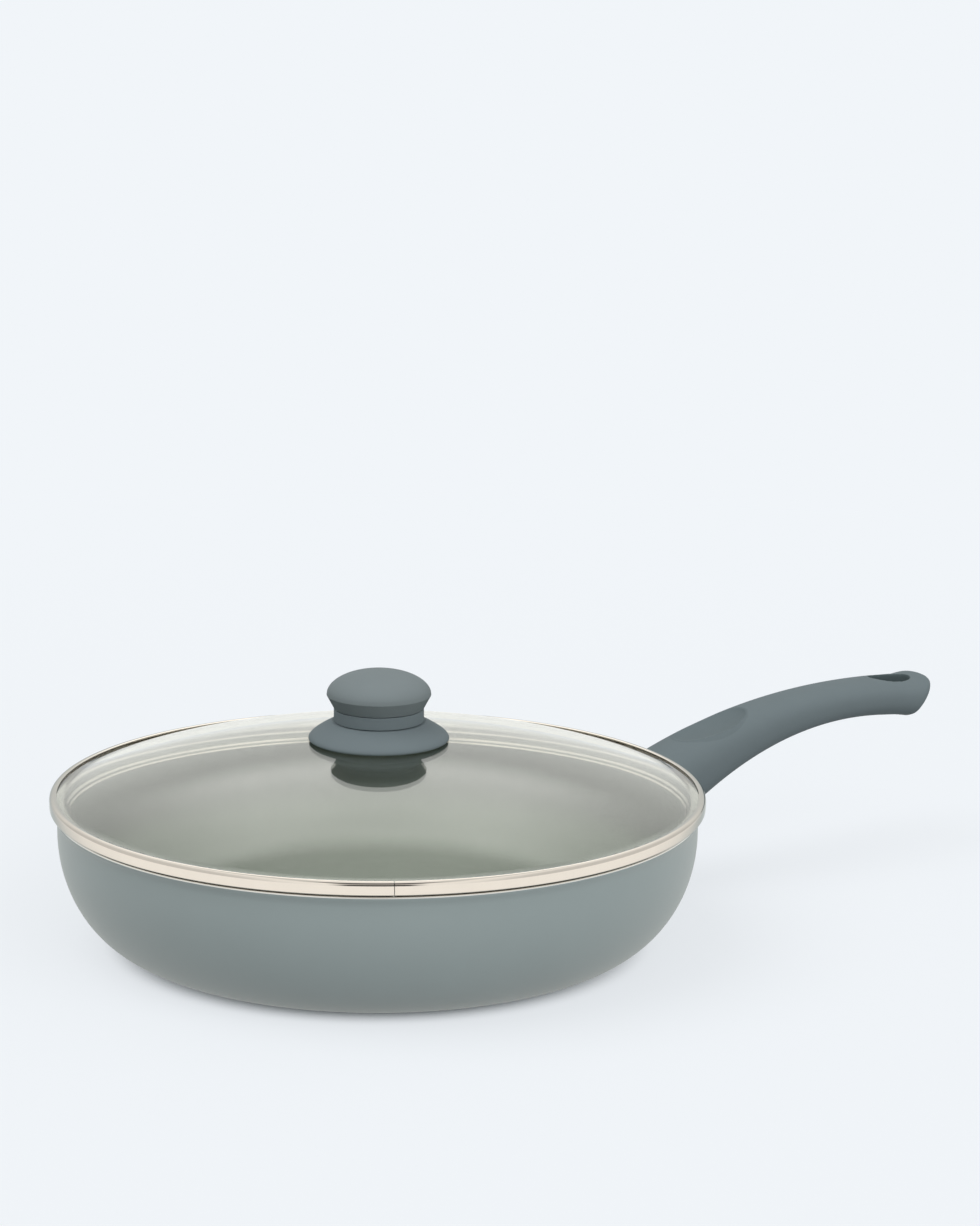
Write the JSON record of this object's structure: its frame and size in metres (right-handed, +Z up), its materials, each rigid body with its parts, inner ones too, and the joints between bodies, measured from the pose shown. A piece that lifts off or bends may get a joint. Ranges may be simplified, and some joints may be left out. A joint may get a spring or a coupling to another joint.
{
  "type": "frying pan with lid",
  "caption": "Shallow round frying pan with rounded walls, a long arched handle with a thumb rest and a hang hole, and a domed glass lid that lifts off by its knob.",
  "frame": {"origin": "centre of the pan's flat underside, on the surface that it stands on", "axes": "+Z up along the pan's axis, +X along the handle, away from the pan"},
  "size_m": [0.4671, 0.29, 0.1222],
  "materials": {
    "grey_coating": "satin grey coating on aluminium",
    "soft_touch": "matt soft-touch coating on phenolic moulding",
    "clear_glass": "clear toughened glass",
    "polished_steel": "polished stainless steel strip",
    "brushed_steel": "brushed stainless steel",
    "cast_aluminium": "as cast",
    "brass": "turned",
    "silicone": "matt moulded silicone"
  },
  "bodies": {
    "pan": {"pan_shell": "grey_coating", "base_plate": "brushed_steel", "handle_bracket": "cast_aluminium", "handle_grip": "soft_touch", "handle_screw": "brushed_steel", "handle_washer": "brushed_steel"},
    "lid": {"lid_glass": "clear_glass", "lid_rim_band": "polished_steel", "knob_gasket": "silicone", "knob_base": "soft_touch", "knob_collar": "soft_touch", "knob_cap": "soft_touch", "knob_insert": "brass", "knob_seal": "silicone", "knob_washer": "brushed_steel", "knob_screw": "brushed_steel"}
  },
  "joints": [
    {"name": "lid_lift", "type": "slide", "parent": "pan", "child": "lid", "axis": [0, 0, 1], "range_m": [0, 0.12]}
  ]
}
